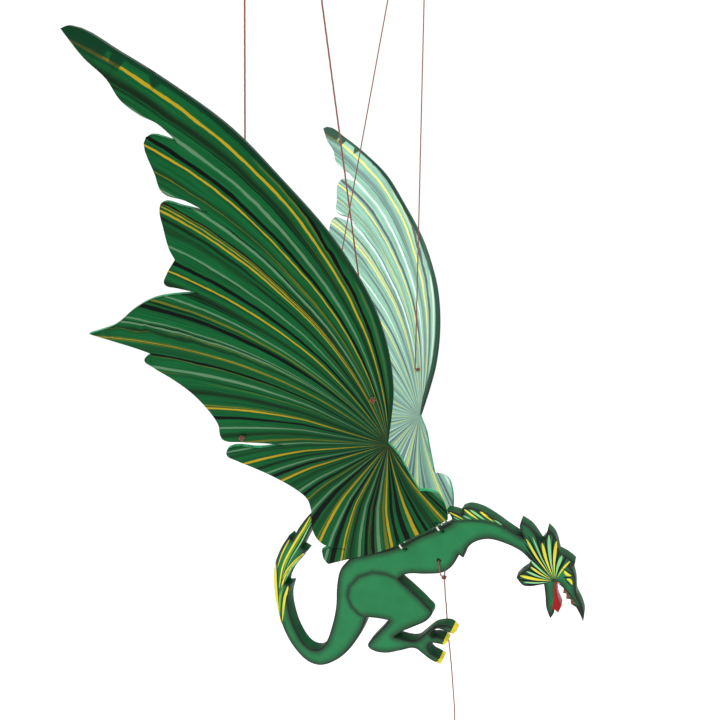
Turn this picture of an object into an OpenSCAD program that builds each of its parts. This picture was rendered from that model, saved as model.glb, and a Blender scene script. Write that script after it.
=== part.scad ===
// Hanging, flapping dragon cut from painted board.
// The dragon is drawn about its front wing hinge and then hung below the eye, which is the origin.
// +X is towards the head, +Y towards the dragon's left wing and +Z is up.

/* [Boards] */
// Thickness of the body board
body_t = 12; // [9:0.5:14]
// Thickness of each wing board
wing_t = 4.2; // [3:0.1:4.5]
// Lines drawn between two points of a curved outline
curve_steps = 5; // [2:1:8]

/* [Wing hinges] */
// Slope of the hinge line, rising towards the head
hinge_slope = 33; // [28:1:36]
// Angle of the wings above level when the mobile hangs at rest
wing_rest = 65; // [55:1:66]
// Distance between the front and the rear hinge cord
hinge_gap = 35; // [28:1:40]
// Radius of a hinge cord's loop
loop_r = 5; // [4.8:0.1:5.3]
// Thickness of a hinge cord
loop_d = 1.4; // [1:0.1:1.5]
// Diameter of the holes that the hinge cords pass through
hinge_hole_d = 3.2; // [3:0.1:3.4]

/* [Strings] */
// Thickness of the strings
string_d = 1.1; // [0.8:0.1:1.3]
// Diameter of the string holes in the wings
wing_hole_d = 3; // [2.6:0.1:3.4]
// Diameter of the tied knots
knot_d = 4.4; // [4:0.1:5]
// Height of a tied knot
knot_h = 4; // [3:0.5:5]

/* [Spreader bar] */
// Length of the spreader bar
bar_l = 290; // [280:5:320]
// Width of the spreader bar
bar_w = 44; // [38:1:50]
// Thickness of the spreader bar
bar_t = 9; // [7:0.5:11]
// Height of the bar's underside above the front hinge
bar_up = 455; // [455:5:500]
// Distance between the two string holes at one end
bar_hole_gap = 28; // [24:1:30]
// Distance from the middle of the bar to its string holes
bar_hole_y = 130; // [126:1:132]
// Diameter of the bar's string holes
bar_hole_d = 2.4; // [2:0.1:3]

/* [Hanging eye] */
// Radius of the eye's hole
eye_hole_r = 4; // [3:0.5:5]
// Radius of the eye's outside
eye_r = 7; // [6.5:0.5:8]
// Width of the eye's ring along its hole
eye_w = 2.5; // [2:0.5:3]
// Radius of the eye's shank
shank_r = 1.3; // [1:0.1:1.6]
// Depth of the shank in the bar
shank_depth = 6; // [4:0.5:6]

/* [Pull cord] */
// Diameter of the wooden bead
bead_d = 18; // [14:1:22]
// Diameter of the bead's hole
bead_hole_d = 2.4; // [2:0.1:3]
// Diameter of the chest hole for the pull cord
chest_hole_d = 2.8; // [2.4:0.1:3.2]

/* [Hidden] */
fine = 48;
tube_sides = 8;
eye_rise = 13;
eye_x = -70;
hang_z = -(bar_up + bar_t + eye_rise);

// How far a cut runs past a surface, and how far two parts of one solid run into each other
past = 1;
joined = 1;
// Height of the screw eye's collar, and play round a hinge cord in the body board
collar_h = 1;
loop_play = 0.4;
// Straight steps along a hanging string
string_steps = 4;
// Depth of the pull cord's end in the bead
bead_seat = 1;

// Holes in a wing, as distance along the hinge line and distance out from it
front_hole = [29, 121];
rear_hole = [-70, 148];
// How far a wing's own piece of string stands above the board, and the gap to the hanging string
tie_up = 3;
string_gap = 2;

// Outlines are lists of [x, y, corner]; corner is 1 at a sharp point and 0 on a smooth curve
body_outline = [
    [-78, -44, 0], [-72, -38, 0], [-61, -33, 0], [-44, -27, 0], [-29, -20, 0], [-14, -10, 0], [0, -2, 0],
    // first neck fin
    [6.5, 1.8, 0], [9.8, 5.4, 1], [9.4, 7.4, 0], [7.2, 11, 0], [5.2, 13, 1], [11, 12.8, 0],
    [18, 11.4, 1],
    // long neck fin
    [17, 16, 1], [22, 18, 0], [31, 17, 0], [42, 12, 0], [52, 6, 0], [63, 0, 1],
    // two head spikes
    [60, 8, 0], [61, 13, 1], [68, 9, 0], [76, -1, 1], [79, 4, 0], [80, 10, 1], [85, 5, 0], [89, -7, 1],
    // horn, brow and snout
    [94, -9, 0], [100, -13, 1], [99.5, -16, 1], [96, -16, 1], [99, -20, 0], [101, -27, 0],
    [102, -36, 0], [106, -44, 0], [108, -51, 0], [107.5, -57.5, 1],
    // upper jaw with three teeth
    [105, -52, 0], [102, -47, 1], [98.5, -45.5, 1], [98, -41.8, 1], [95, -42, 1], [95, -38, 1],
    [92.6, -38, 1], [93, -34.6, 1], [90.5, -31.5, 0], [88, -30, 1],
    // tongue
    [88, -35, 0], [88.8, -41, 0], [92, -48.5, 1], [90, -54, 1], [86.8, -51.5, 1],
    // lower jaw
    [87, -54.5, 0], [84.5, -59.5, 1], [81.5, -52, 0], [80.3, -42, 0], [79, -33.5, 1],
    // cheek frill
    [75, -35, 0], [69, -37, 0], [64, -37, 0], [59, -32, 1], [63, -27, 0], [67, -23, 0], [69, -17, 1],
    // throat, chest spike and belly
    [62, -11, 0], [52, -7, 0], [38, -5, 0], [29, -8, 0], [24, -12, 0], [21, -17, 0], [19, -23, 1],
    [15.5, -21, 1], [13, -27, 0], [8, -34, 0], [2, -38, 0], [-10, -41, 0], [-26, -44, 0], [-32, -49, 1],
    // thigh, knee and shin
    [-20, -57.5, 0], [-9, -66.5, 0], [-4.5, -71.5, 0], [-8, -79, 0], [-19, -87, 0],
    [-29, -93.5, 0], [-35, -99, 1],
    // upper toe
    [-18, -98.5, 0], [-11, -92, 0], [-3, -84, 0], [4, -81, 0], [10, -80.5, 0], [15, -84, 1],
    [12.5, -87, 1], [6, -85.5, 0], [0, -85, 0], [-4, -88, 0],
    // middle toe
    [-5, -92, 0], [0, -91.5, 0], [5, -92, 0], [8.5, -94, 1], [6, -97.5, 1], [1, -97.5, 0], [-4, -98, 0],
    // lower toe
    [-7, -102, 0], [-5, -106, 0], [0, -108, 0], [5, -110, 1], [3, -114.5, 1], [-5, -112.5, 0],
    [-12, -108.5, 0], [-18, -105.5, 0],
    // sole and heel
    [-30, -110, 0], [-43, -115, 0], [-54, -115, 0], [-58, -112, 0], [-55, -106, 0], [-48, -97, 0],
    [-40, -86, 1],
    [-48, -86, 0], [-59, -87, 1],
    // outside of the tail
    [-63, -99, 0], [-73, -117, 0], [-86, -131, 0], [-101, -139, 0], [-112, -138, 0], [-124, -129, 0],
    [-133, -116, 0], [-140, -96, 0], [-143, -75, 0], [-142, -56, 0], [-136, -40, 0], [-128, -27, 1],
    // tail tip with three barbs
    [-125.5, -31, 1], [-118, -18, 0], [-107, -4, 0], [-96, 5, 1], [-106, -14, 0], [-117, -36, 1],
    [-112, -38, 1], [-121, -50, 0], [-130, -62, 0], [-132, -71, 1], [-127, -70, 1],
    // inside of the tail's curl
    [-130, -82, 0], [-128, -98, 0], [-121, -115, 0], [-112, -124.5, 0], [-103, -125, 0], [-96, -118, 0],
    [-90, -102, 0], [-86, -83, 0], [-85, -64, 0], [-82, -50, 0]
];

// Wing outline: x is along the hinge line, towards the head, and y is out from it
wing_outline = [
    // tip and leading edge
    [33, 408, 1], [38, 406, 0], [51, 379, 0], [63, 347, 0], [73, 312, 0], [77, 272, 0], [79, 232, 0],
    [77, 205, 0], [72, 177, 0], [61, 147, 0], [45, 119, 0], [30, 101, 0], [15, 85, 1],
    // elbow to the front of the root
    [15, 72, 0], [12, 57, 0], [8, 37, 1], [13, 34, 0], [17.5, 28, 0], [17, 19, 0], [14, 10, 0], [10, 3, 1],
    // root edge
    [0, 2.4, 0], [-28, 2.4, 0], [-45, 2.6, 0], [-60, 5, 0], [-76, 9.5, 0], [-98, 15, 1],
    // small rear lobe and its slit
    [-97, 22, 0], [-93, 29, 1], [-87, 29, 0], [-76, 21, 1], [-87, 33, 0], [-88, 40, 0], [-84, 52, 0],
    [-73, 66, 1],
    // sixth lobe
    [-68, 77, 0], [-69, 88, 0], [-75, 106, 0], [-82, 121, 0], [-89, 134, 0], [-92, 142, 0], [-86, 146, 0],
    // slot beside the sixth lobe
    [-66, 133, 0], [-50, 126, 1], [-61, 135, 0], [-75, 145.5, 0], [-84, 153, 0], [-84, 157, 0],
    // fifth lobe
    [-78, 166, 0], [-75, 181, 0], [-75, 197, 0], [-78, 212, 0], [-83, 228, 0], [-84, 235, 0], [-76, 236, 1],
    [-81, 244, 0], [-88, 254, 0], [-101, 272, 1], [-92, 269, 0], [-80, 266, 0], [-60, 266.5, 0],
    [-43, 264, 0], [-16, 250, 1],
    // fourth lobe
    [-25, 260, 0], [-30, 267, 0], [-24, 271, 0], [-12, 275, 1], [-10, 282, 0], [-3, 294, 0], [4, 304, 0],
    [8.5, 306, 0], [17, 297, 0], [27, 285, 1],
    // third lobe and first notch
    [21, 298, 0], [13, 310, 0], [17, 320, 0], [29, 339, 0], [42, 327, 1], [40, 340, 0], [35, 350, 0],
    [32, 362, 0], [34, 375, 0], [32, 390, 0]
];

// Route of the pull cord below its tie under the chest
pull_route = [
    [3, 2, -47], [3, 4, -54], [3, 6, -62], [3.5, 7.4, -70], [4, 8, -78], [5, 8.2, -90],
    [6, 8.2, -100], [7.5, 8.2, -112], [9, 8.2, -126], [10.5, 8.2, -142], [12, 8.2, -160], [13, 8.2, -181]
];
// Tie through the chest hole and round the belly's edge, with its knot below the edge
chest_hole = [0, -28];
chest_knot = [3, 1.2, -46.6];
tie_route = [
    [2.9, 2.6, -43.6], [2.7, 4, -42.2], [2.2, 5.8, -40], [1.6, 7, -37], [1, 7.2, -33], [0.3, 6.9, -29.8],
    [0, 5.4, -28.2], [0, 2, -28], [0, -2, -28], [0, -5.4, -28.2], [0.3, -6.9, -29.8], [1, -7.2, -33],
    [1.6, -7, -37], [2.1, -5.6, -40], [2.5, -3, -42], [2.8, -0.4, -43.6]
];

// A point on a smooth curve between two outline points, found from the directions at its ends
function unit(v) = v / norm(v);
function xy(p) = [p[0], p[1]];
function at(list, i) = list[(i + len(list)) % len(list)];
function direction(list, i, side) =
    let (p = xy(at(list, i)), before = xy(at(list, i - 1)), after = xy(at(list, i + 1)))
    at(list, i)[2] == 1
        ? unit(side*(xy(at(list, i + side)) - p))
        : unit(unit(after - p) + unit(p - before));
function curve_point(a, b, da, db, t) =
    let (l = norm(b - a))
    (2*t*t*t - 3*t*t + 1)*a + (t*t*t - 2*t*t + t)*l*da + (3*t*t - 2*t*t*t)*b + (t*t*t - t*t)*l*db;
function smooth(list) = [
    for (i = [0:len(list) - 1])
        let (a = xy(list[i]), b = xy(at(list, i + 1)),
             da = direction(list, i, 1), db = direction(list, i + 1, -1),
             straight = list[i][2] == 1 && at(list, i + 1)[2] == 1)
        for (k = [0:(straight ? 0 : curve_steps - 1)])
            curve_point(a, b, da, db, k/curve_steps)
];

// Directions of the right wing at rest: along its hinge line, out along it and up from its face
along = [cos(hinge_slope), 0, sin(hinge_slope)];
lift = [-sin(hinge_slope), 0, cos(hinge_slope)];
outward = cos(wing_rest)*[0, -1, 0] + sin(wing_rest)*lift;
face = sin(wing_rest)*[0, 1, 0] + cos(wing_rest)*lift;
function on_right_wing(uv, height = 0) =
    [0, -body_t/2, 0] + uv[0]*along + uv[1]*outward + height*face;
function flip_y(p, side) = [p[0], side*p[1], p[2]];
function bar_hole(front, side) =
    [eye_x + (front ? 1 : -1)*bar_hole_gap/2, side*bar_hole_y, bar_up];

// Tube along a route, with flat ends
function ring_at(route, i, r) =
    let (n = len(route), t = unit(route[min(i + 1, n - 1)] - route[max(i - 1, 0)]),
         side = unit(cross(t, [1, 0, 0])), up = cross(t, side))
    [for (k = [0:tube_sides - 1]) route[i] + r*(cos(k*360/tube_sides)*side + sin(k*360/tube_sides)*up)];
module tube(route, d) {
    rings = len(route);
    points = [for (i = [0:rings - 1]) each ring_at(route, i, d/2)];
    walls = [
        for (i = [0:rings - 2], k = [0:tube_sides - 1])
            let (next = (k + 1) % tube_sides)
            [i*tube_sides + k, (i + 1)*tube_sides + k, (i + 1)*tube_sides + next, i*tube_sides + next]
    ];
    first = [for (k = [0:tube_sides - 1]) k];
    last = [for (k = [tube_sides - 1:-1:0]) (rings - 1)*tube_sides + k];
    polyhedron(points, concat([first], walls, [last]), convexity = 4);
}

// Moves the dragon's own frame to its place below the eye
module hang() {
    translate([-eye_x, 0, hang_z]) children();
}
module left() {
    mirror([0, 1, 0]) children();
}
// Puts a flat board drawn in x and y onto the right wing's plane
module right_wing_plane() {
    translate([0, -body_t/2, 0]) rotate([0, -hinge_slope, 0]) rotate([-wing_rest, 0, 0])
        mirror([0, 1, 0]) children();
}
// An oval tied knot with a flat face at the bottom, which is cut at this angle below its middle
knot_cut = 50;
knot_step = 10;
module knot(d, h) {
    rise = h/(1 + sin(knot_cut));
    rotate_extrude($fn = fine)
        polygon(concat(
            [[0, 0]],
            [for (a = [-knot_cut:knot_step:90]) [d/2*cos(a), rise*(sin(a) + sin(knot_cut))]]
        ));
}

module hanging_eye() {
    color("silver") {
        difference() {
            union() {
                rotate([0, 90, 0]) cylinder(h = eye_w, r = eye_r, center = true, $fn = fine);
                translate([0, 0, -eye_rise - shank_depth])
                    cylinder(h = eye_rise + shank_depth - eye_r + joined, r = shank_r, $fn = fine);
                translate([0, 0, -eye_rise]) cylinder(h = collar_h, r = 2*shank_r, $fn = fine);
            }
            rotate([0, 90, 0]) cylinder(h = 2*eye_w, r = eye_hole_r, center = true, $fn = fine);
        }
    }
}

module spreader_bar() {
    color("burlywood")
        translate([0, 0, -eye_rise - bar_t]) difference() {
            linear_extrude(bar_t) union() {
                square([bar_w, bar_l - bar_w], center = true);
                for (s = [-1, 1]) translate([0, s*(bar_l - bar_w)/2]) circle(d = bar_w, $fn = 2*fine);
            }
            for (x = [-1, 1], y = [-1, 1])
                translate([x*bar_hole_gap/2, y*bar_hole_y, -past])
                    cylinder(h = bar_t + 2*past, d = bar_hole_d, $fn = fine);
            translate([0, 0, bar_t - shank_depth])
                cylinder(h = shank_depth + past, r = shank_r, $fn = fine);
        }
}

// Each knot lies on top of the bar, with its piece of string in the hole below it
module bar_knots() {
    color("sienna")
        for (x = [-1, 1], y = [-1, 1])
            translate([x*bar_hole_gap/2, y*bar_hole_y, -eye_rise]) {
                knot(knot_d, knot_h);
                translate([0, 0, -bar_t]) cylinder(h = bar_t, d = string_d, $fn = fine/3);
            }
}

// A string hangs from just under the bar to just above the wing
module hanging_string(front, side) {
    top = bar_hole(front, side);
    end = flip_y(on_right_wing(front ? front_hole : rear_hole, wing_t/2 + tie_up + string_gap), -side);
    start = top + unit(end - top)*string_gap;
    color("sienna") hang() tube([for (k = [0:1/string_steps:1]) start + (end - start)*k], string_d);
}
module right_front_string() { hanging_string(true, -1); }
module right_rear_string() { hanging_string(false, -1); }
module left_front_string() { hanging_string(true, 1); }
module left_rear_string() { hanging_string(false, 1); }

// Ring of cord about the hinge line, through the wing's hole and the body's edge
module hinge_ring(gap_back, d) {
    translate([0, -body_t/2, 0]) rotate([0, -hinge_slope, 0])
        translate([-gap_back, 0, 0]) rotate([0, 90, 0])
        rotate_extrude($fn = fine) translate([loop_r, 0]) circle(d = d, $fn = fine/2);
}
module right_front_hinge_cord() { color("white") hang() hinge_ring(0, loop_d); }
module right_rear_hinge_cord() { color("white") hang() hinge_ring(hinge_gap, loop_d); }
module left_front_hinge_cord() { color("white") hang() left() hinge_ring(0, loop_d); }
module left_rear_hinge_cord() { color("white") hang() left() hinge_ring(hinge_gap, loop_d); }

module body_board() {
    color("seagreen") hang() difference() {
        rotate([90, 0, 0]) linear_extrude(body_t, center = true) polygon(smooth(body_outline));
        for (back = [0, hinge_gap]) {
            hinge_ring(back, loop_d + loop_play);
            left() hinge_ring(back, loop_d + loop_play);
        }
        translate([chest_hole[0], 0, chest_hole[1]]) rotate([90, 0, 0])
            cylinder(h = body_t + 2*past, d = chest_hole_d, center = true, $fn = fine);
    }
}

module wing_board() {
    right_wing_plane() difference() {
        linear_extrude(wing_t, center = true) polygon(smooth(wing_outline));
        for (x = [0, -hinge_gap]) translate([x, loop_r])
            cylinder(h = 2*wing_t, d = hinge_hole_d, center = true, $fn = fine);
        for (p = [front_hole, rear_hole]) translate(p)
            cylinder(h = 2*wing_t, d = wing_hole_d, center = true, $fn = fine);
    }
}
// The wing's own ends of string, up through its holes from a knot on the underside
module wing_ties() {
    right_wing_plane() for (p = [front_hole, rear_hole]) translate(p) {
        translate([0, 0, -wing_t/2]) cylinder(h = wing_t + tie_up, d = string_d, $fn = fine/3);
        translate([0, 0, -wing_t/2]) mirror([0, 0, 1]) knot(knot_d, knot_h);
    }
}
module right_wing() { color("darkgreen") hang() wing_board(); }
module right_wing_ties() { color("sienna") hang() wing_ties(); }
module left_wing() { color("darkgreen") hang() left() wing_board(); }
module left_wing_ties() { color("sienna") hang() left() wing_ties(); }

module chest_tie() {
    color("sienna") hang() {
        tube(tie_route, string_d);
        translate(chest_knot) knot(knot_d, knot_h);
    }
}
module pull_cord() {
    color("sienna") hang() tube(pull_route, string_d);
}
// The cord's end lies a little way down the bead's hole, and the knot's piece fills the rest of it
bead_top = pull_route[len(pull_route) - 1] + [0, 0, bead_seat];
module pull_bead() {
    color("burlywood") hang() translate(bead_top - [0, 0, bead_d/2]) difference() {
        sphere(d = bead_d, $fn = 2*fine);
        cylinder(h = 2*bead_d, d = bead_hole_d, center = true, $fn = fine);
    }
}
module bead_knot() {
    color("sienna") hang() translate(bead_top - [0, 0, bead_d]) {
        cylinder(h = bead_d - bead_seat, d = string_d, $fn = fine/3);
        mirror([0, 0, 1]) knot(knot_d, knot_h);
    }
}

hanging_eye();
spreader_bar();
bar_knots();
right_front_string();
right_rear_string();
left_front_string();
left_rear_string();
body_board();
right_front_hinge_cord();
right_rear_hinge_cord();
left_front_hinge_cord();
left_rear_hinge_cord();
right_wing();
right_wing_ties();
left_wing();
left_wing_ties();
chest_tie();
pull_cord();
pull_bead();
bead_knot();
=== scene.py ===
import math

import bmesh
import bpy
import numpy as np
from mathutils import Matrix, Vector
from mathutils.geometry import delaunay_2d_cdt


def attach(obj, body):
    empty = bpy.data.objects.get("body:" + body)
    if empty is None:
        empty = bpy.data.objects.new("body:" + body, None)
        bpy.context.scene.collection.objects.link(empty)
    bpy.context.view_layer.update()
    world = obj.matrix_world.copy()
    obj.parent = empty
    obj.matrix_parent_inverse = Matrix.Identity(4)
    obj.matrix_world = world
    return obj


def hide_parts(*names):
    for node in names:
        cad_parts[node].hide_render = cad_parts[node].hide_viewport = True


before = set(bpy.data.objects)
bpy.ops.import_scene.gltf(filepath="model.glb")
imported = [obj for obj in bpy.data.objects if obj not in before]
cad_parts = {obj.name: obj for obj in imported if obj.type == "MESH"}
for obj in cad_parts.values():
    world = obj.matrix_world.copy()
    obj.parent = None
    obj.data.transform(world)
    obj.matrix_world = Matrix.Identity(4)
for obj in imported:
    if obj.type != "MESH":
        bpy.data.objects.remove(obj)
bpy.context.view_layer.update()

MM = 0.001
# The dragon is drawn about its front wing hinge, at this place in the row frame
HINGE = Vector((0.07, 0.0, -0.477))
SCENE = bpy.context.scene


def dragon(x, y, z):
    """A point in millimetres from the front wing hinge, in the row frame."""
    return HINGE + Vector((x, y, z)) * MM


def srgb(red, green, blue):
    """A colour given as 0 to 255 screen values, as a linear colour with alpha."""
    linear = []
    for value in (red, green, blue):
        share = value / 255
        linear.append(share / 12.92 if share <= 0.04045 else ((share + 0.055) / 1.055) ** 2.4)
    return (*linear, 1.0)


# ---------------------------------------------------------------- camera, light and floor

AZIMUTH = math.radians(20.8)
ELEVATION = math.radians(9.2)
BACK = Vector(
    (
        math.sin(AZIMUTH) * math.cos(ELEVATION),
        -math.cos(AZIMUTH) * math.cos(ELEVATION),
        math.sin(ELEVATION),
    )
)
RIGHT = Vector((math.cos(AZIMUTH), math.sin(AZIMUTH), 0.0))
UP = BACK.cross(RIGHT)

camera_data = bpy.data.cameras.new("camera")
camera_data.lens = 35
camera_data.sensor_width = 36
camera_data.clip_start = 0.02
camera_data.clip_end = 60
camera = bpy.data.objects.new("camera", camera_data)
SCENE.collection.objects.link(camera)
camera_turn = Matrix((RIGHT, UP, BACK)).transposed().to_4x4()
# The camera stands this far left of, above and back from the hinge, in metres
CAMERA_LEFT = 0.0625
CAMERA_ABOVE = 0.1256
CAMERA_BACK = 0.539
camera_place = HINGE - CAMERA_LEFT * RIGHT + CAMERA_ABOVE * UP + CAMERA_BACK * BACK
camera.matrix_world = Matrix.Translation(camera_place) @ camera_turn
SCENE.camera = camera
SCENE.view_settings.view_transform = "Standard"


def area_light(name, place, target, size, power):
    light = bpy.data.lights.new(name, "AREA")
    light.shape = "DISK"
    light.size = size
    light.energy = power
    holder = bpy.data.objects.new(name, light)
    SCENE.collection.objects.link(holder)
    holder.location = place
    holder.rotation_euler = (Vector(target) - Vector(place)).to_track_quat("-Z", "Y").to_euler()
    return holder


AIM = (0.03, 0.0, -0.4)
area_light("key_light", (0.9, -1.6, 0.9), AIM, 1.2, 9)
area_light("top_light", (0.5, 0.5, 1.5), AIM, 1.0, 24)
area_light("fill_light", (-1.5, -1.4, -0.2), AIM, 1.6, 3)

world = bpy.data.worlds.new("studio")
world.use_nodes = True
world.node_tree.nodes["Background"].inputs["Color"].default_value = (1, 1, 1, 1)
world.node_tree.nodes["Background"].inputs["Strength"].default_value = 1.06
SCENE.world = world

# ---------------------------------------------------------------- node helpers


def material(name, roughness=0.45, specular=0.4):
    made = bpy.data.materials.new(name)
    made.use_nodes = True
    shader = made.node_tree.nodes["Principled BSDF"]
    shader.inputs["Roughness"].default_value = roughness
    shader.inputs["Specular IOR Level"].default_value = specular
    return made


class Tree:
    """Short names for the nodes of one material."""

    def __init__(self, owner):
        self.nodes = owner.node_tree.nodes
        self.links = owner.node_tree.links
        self.shader = self.nodes["Principled BSDF"]

    def plug(self, socket, value):
        if isinstance(value, bpy.types.NodeSocket):
            self.links.new(value, socket)
        else:
            socket.default_value = value

    def attribute(self, name):
        node = self.nodes.new("ShaderNodeAttribute")
        node.attribute_name = name
        return node.outputs["Fac"]

    def math(self, kind, a, b=0.0, c=0.0, clamp=False):
        node = self.nodes.new("ShaderNodeMath")
        node.operation = kind
        node.use_clamp = clamp
        for socket, value in zip(node.inputs, (a, b, c)):
            self.plug(socket, value)
        return node.outputs[0]

    def ramped(self, value, start, end, low=0.0, high=1.0, kind="SMOOTHSTEP"):
        node = self.nodes.new("ShaderNodeMapRange")
        node.interpolation_type = kind
        self.plug(node.inputs["Value"], value)
        node.inputs["From Min"].default_value = start
        node.inputs["From Max"].default_value = end
        node.inputs["To Min"].default_value = low
        node.inputs["To Max"].default_value = high
        return node.outputs[0]

    def vector(self, x, y, z=0.0):
        node = self.nodes.new("ShaderNodeCombineXYZ")
        for socket, value in zip(node.inputs, (x, y, z)):
            self.plug(socket, value)
        return node.outputs[0]

    def place(self):
        return self.nodes.new("ShaderNodeTexCoord").outputs["Object"]

    def scaled(self, vector, scale, offset=(0, 0, 0)):
        node = self.nodes.new("ShaderNodeMapping")
        self.plug(node.inputs["Vector"], vector)
        node.inputs["Scale"].default_value = scale
        node.inputs["Location"].default_value = offset
        return node.outputs[0]

    def noise(self, vector, scale, detail=3.0, rough=0.55, distortion=0.0):
        node = self.nodes.new("ShaderNodeTexNoise")
        self.plug(node.inputs["Vector"], vector)
        node.inputs["Scale"].default_value = scale
        node.inputs["Detail"].default_value = detail
        node.inputs["Roughness"].default_value = rough
        node.inputs["Distortion"].default_value = distortion
        return node.outputs["Fac"]

    def streaks(self, angle, reach, across, along, detail):
        """Noise that runs along the wing's strokes: this fine across them and along them."""
        place = self.vector(self.math("MULTIPLY", angle, across), self.math("MULTIPLY", reach, along))
        return self.noise(place, 1.0, detail)

    def mix(self, share, a, b, kind="MIX"):
        node = self.nodes.new("ShaderNodeMix")
        node.data_type = "RGBA"
        node.blend_type = kind
        self.plug(node.inputs[0], share)
        self.plug(node.inputs[6], a)
        self.plug(node.inputs[7], b)
        return node.outputs[2]

    def ramp(self, value, stops, kind="LINEAR"):
        node = self.nodes.new("ShaderNodeValToRGB")
        node.color_ramp.interpolation = kind
        elements = node.color_ramp.elements
        while len(elements) < len(stops):
            elements.new(1.0)
        for element, (place, colour) in zip(elements, sorted(stops, key=lambda stop: stop[0])):
            element.position = place
            element.color = colour
        self.plug(node.inputs[0], value)
        return node.outputs["Color"], node.outputs["Alpha"]

    def bump(self, height, distance, strength=1.0, normal=None):
        node = self.nodes.new("ShaderNodeBump")
        self.plug(node.inputs["Height"], height)
        node.inputs["Distance"].default_value = distance
        node.inputs["Strength"].default_value = strength
        if normal is not None:
            self.plug(node.inputs["Normal"], normal)
        return node.outputs[0]

    def colour(self, value):
        self.plug(self.shader.inputs["Base Color"], value)

    def normal(self, value):
        self.plug(self.shader.inputs["Normal"], value)

    def roughness(self, value):
        self.plug(self.shader.inputs["Roughness"], value)


# ---------------------------------------------------------------- wing paint

# Brush strokes that fan out from the wing's elbow: from, to and tone, in degrees round the elbow.
# Both faces of both wings share them
STROKES = [
    (46.6, 49.2, "pale"), (50.3, 52.3, "black"), (52.9, 53.9, "gold"),
    (57.0, 58.2, "sage"), (59.1, 60.5, "black"), (60.6, 61.3, "gold"),
    (63.7, 64.0, "olive"), (65.6, 66.7, "sage"), (67.7, 68.8, "black"), (68.6, 69.2, "gold"),
    (69.2, 69.4, "brown"), (69.4, 70.1, "gold"), (75.1, 75.9, "sage"), (77.5, 79.2, "black"),
    (80.1, 81.0, "gold"), (86.0, 86.9, "sage"), (87.7, 88.7, "olive"), (89.3, 91.3, "black"),
    (93.5, 94.1, "sage"), (94.5, 95.4, "sage"), (101.0, 101.6, "olive"), (101.6, 102.3, "gold"),
    (102.3, 103.3, "olive"), (108.1, 110.5, "black"), (113.5, 115.0, "sage"),
    (124.8, 125.6, "olive"), (125.6, 126.8, "gold"), (129.1, 131.1, "black"),
    (133.6, 135.0, "sage"), (141.0, 142.8, "olive"), (144.3, 145.6, "sage"),
    (151.0, 152.6, "gold"), (158.8, 160.2, "sage"), (161, 163.5, "black"),
    (165.0, 165.6, "olive"), (165.6, 167.3, "gold"), (175.5, 177.5, "sage"),
    (178.5, 180.9, "black"), (182.6, 184.2, "olive"), (188.6, 190.5, "sage"),
    (190.7, 194.7, "black"), (198.0, 199.0, "olive"), (199.0, 200.8, "gold"),
    (203.4, 205.0, "sage"), (205.2, 208, "black"), (209.3, 210.4, "gold"),
    (210.4, 211.6, "olive"), (216.0, 217.8, "sage"), (218.6, 221.6, "black"),
    (221.2, 222.4, "brown"), (222.1, 224.3, "black"), (224.6, 227.0, "sage"),
    (228.4, 230.6, "olive"), (230.6, 232.6, "gold"), (233.7, 235.9, "black"),
    (236.7, 239.1, "black"), (240.2, 241.8, "gold"), (243.5, 245.2, "black"),
    (252.8, 254.2, "olive"), (254.2, 255.8, "gold"), (258.2, 260.1, "black"),
    (262.8, 264.8, "sage"), (268.9, 270.5, "olive"), (273.1, 274.8, "black"),
]
# Airbrushed shadows between them: middle and half width in degrees, and strength
SHADOWS = [
    (55.2, 1.1, 0.85), (63.7, 1.1, 0.55), (72.6, 1.3, 0.6), (83.6, 1.3, 0.75), (96.9, 1.3, 0.75),
    (105.6, 2.2, 0.3), (120.8, 2.2, 0.75), (138.0, 2.0, 0.7), (147.2, 1.6, 0.5),
    (156.0, 1.8, 0.6), (171.0, 2.2, 0.65), (186.2, 2.4, 0.55), (196.2, 2.0, 0.5),
    (213.6, 2.4, 0.6), (248.6, 3.6, 0.55), (266.8, 1.8, 0.5),
]
# The same wing paint in two copies: the underside's darker tones are painted shade, and the upper face's pale
# tones are painted light from above
UNDERSIDE_SHADED_TONES = {
    "base": srgb(10, 86, 42), "black": srgb(3, 9, 6), "gold": srgb(170, 144, 26),
    "brown": srgb(52, 44, 14), "olive": srgb(94, 100, 26), "sage": srgb(88, 124, 92),
    "pale": srgb(56, 96, 52), "shadow": srgb(14, 22, 10), "edge": srgb(6, 50, 28),
}
UPPER_LIT_TONES = {
    "base": srgb(157, 206, 183), "black": srgb(96, 108, 116), "gold": srgb(250, 238, 130),
    "brown": srgb(172, 176, 120), "olive": srgb(210, 226, 148), "sage": srgb(228, 249, 241),
    "pale": srgb(214, 242, 222), "shadow": srgb(112, 138, 138), "edge": srgb(14, 58, 38),
}
# Strokes that one colour ramp holds, three stops each
PER_RAMP = 10
SHADOW_SPANS = [(40.0, 101.0), (101.0, 164.0), (164.0, 290.0)]


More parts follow.
